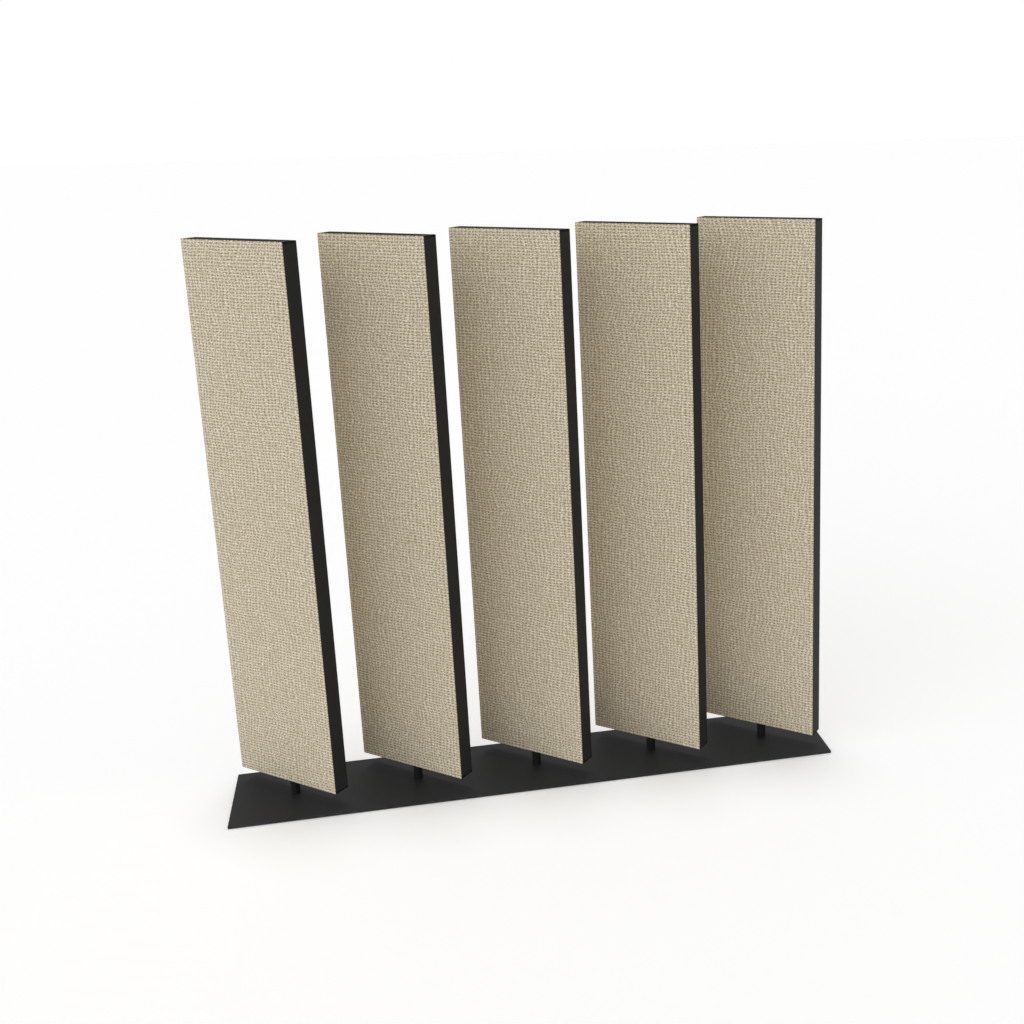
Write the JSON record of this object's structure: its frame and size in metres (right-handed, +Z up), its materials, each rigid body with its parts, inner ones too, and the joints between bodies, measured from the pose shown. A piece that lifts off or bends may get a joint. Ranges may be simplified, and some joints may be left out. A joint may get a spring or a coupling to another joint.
{
  "type": "slatted room divider",
  "caption": "Free-standing room divider: a row of tall fabric-faced slats with black edges, each turning on a short post fixed to a long flat steel base plate.",
  "frame": {"origin": "on the floor, below the middle of the base plate", "axes": "+X along the row of slats, +Y across the base plate away from the viewer in the picture, +Z up"},
  "size_m": [1.925, 0.34, 1.753],
  "materials": {
    "black_steel": "satin",
    "black_profile": "satin",
    "slat_fabric": "matte",
    "board": "matte",
    "core_fill": "matte",
    "tube_steel": "satin",
    "bush_plastic": "matte",
    "black_screw": "satin",
    "glide_rubber": "matte"
  },
  "bodies": {
    "base": {"base_plate": "black_steel", "floor_glides": "glide_rubber", "post_screws": "black_screw", "thrust_washers": "bush_plastic", "post_1": "black_steel", "post_2": "black_steel", "post_3": "black_steel", "post_4": "black_steel", "post_5": "black_steel"},
    "slat_1": {"slat_1_stiles": "black_profile", "slat_1_top_plate": "black_profile", "slat_1_bottom_plate": "black_profile", "slat_1_face_boards": "board", "slat_1_front_fabric": "slat_fabric", "slat_1_rear_fabric": "slat_fabric", "slat_1_core": "core_fill", "slat_1_pivot_tube": "tube_steel", "slat_1_bushes": "bush_plastic", "slat_1_frame_screws": "black_screw"},
    "slat_2": {"slat_2_stiles": "black_profile", "slat_2_top_plate": "black_profile", "slat_2_bottom_plate": "black_profile", "slat_2_face_boards": "board", "slat_2_front_fabric": "slat_fabric", "slat_2_rear_fabric": "slat_fabric", "slat_2_core": "core_fill", "slat_2_pivot_tube": "tube_steel", "slat_2_bushes": "bush_plastic", "slat_2_frame_screws": "black_screw"},
    "slat_3": {"slat_3_stiles": "black_profile", "slat_3_top_plate": "black_profile", "slat_3_bottom_plate": "black_profile", "slat_3_face_boards": "board", "slat_3_front_fabric": "slat_fabric", "slat_3_rear_fabric": "slat_fabric", "slat_3_core": "core_fill", "slat_3_pivot_tube": "tube_steel", "slat_3_bushes": "bush_plastic", "slat_3_frame_screws": "black_screw"},
    "slat_4": {"slat_4_stiles": "black_profile", "slat_4_top_plate": "black_profile", "slat_4_bottom_plate": "black_profile", "slat_4_face_boards": "board", "slat_4_front_fabric": "slat_fabric", "slat_4_rear_fabric": "slat_fabric", "slat_4_core": "core_fill", "slat_4_pivot_tube": "tube_steel", "slat_4_bushes": "bush_plastic", "slat_4_frame_screws": "black_screw"},
    "slat_5": {"slat_5_stiles": "black_profile", "slat_5_top_plate": "black_profile", "slat_5_bottom_plate": "black_profile", "slat_5_face_boards": "board", "slat_5_front_fabric": "slat_fabric", "slat_5_rear_fabric": "slat_fabric", "slat_5_core": "core_fill", "slat_5_pivot_tube": "tube_steel", "slat_5_bushes": "bush_plastic", "slat_5_frame_screws": "black_screw"}
  },
  "joints": [
    {"name": "slat_1_turn", "type": "hinge", "parent": "base", "child": "slat_1", "pos_m": [-0.77, 0, 0.063], "axis": [0, 0, 1], "range_deg": [-129.8, 32]},
    {"name": "slat_2_turn", "type": "hinge", "parent": "base", "child": "slat_2", "pos_m": [-0.385, 0, 0.063], "axis": [0, 0, 1], "range_deg": [-129.8, 32]},
    {"name": "slat_3_turn", "type": "hinge", "parent": "base", "child": "slat_3", "pos_m": [0, 0, 0.063], "axis": [0, 0, 1], "range_deg": [-129.8, 32]},
    {"name": "slat_4_turn", "type": "hinge", "parent": "base", "child": "slat_4", "pos_m": [0.385, 0, 0.063], "axis": [0, 0, 1], "range_deg": [-129.8, 32]},
    {"name": "slat_5_turn", "type": "hinge", "parent": "base", "child": "slat_5", "pos_m": [0.77, 0, 0.063], "axis": [0, 0, 1], "range_deg": [-129.8, 32]}
  ]
}
